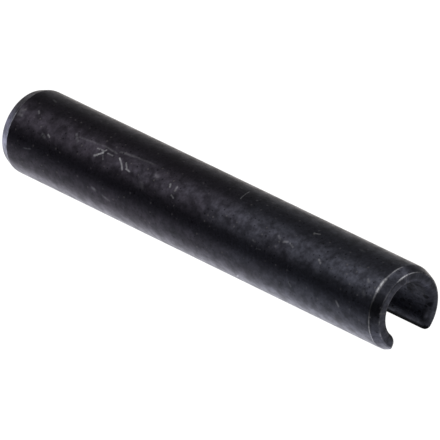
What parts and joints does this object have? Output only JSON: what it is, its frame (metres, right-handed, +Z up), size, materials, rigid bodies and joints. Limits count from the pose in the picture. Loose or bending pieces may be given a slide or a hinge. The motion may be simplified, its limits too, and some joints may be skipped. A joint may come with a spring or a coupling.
{
  "type": "spring roll pin",
  "caption": "Spring roll pin rolled from steel strip into an open C tube, slotted along its length and tapered at its ends, that grips a drilled hole by its own spring.",
  "frame": {"origin": "on the pin's axis at mid-length", "axes": "+X along the pin's axis, +Z up, with the slot facing -Z as the pin comes to rest on its two slot edges"},
  "size_m": [0.04, 0.0066, 0.0059],
  "materials": {
    "black_oxide_steel": "black oxide over hardened spring steel, lightly oiled, with fine scuffs and rubbed edges"
  },
  "bodies": {
    "root": {"spring_pin": "black_oxide_steel"}
  },
  "joints": []
}
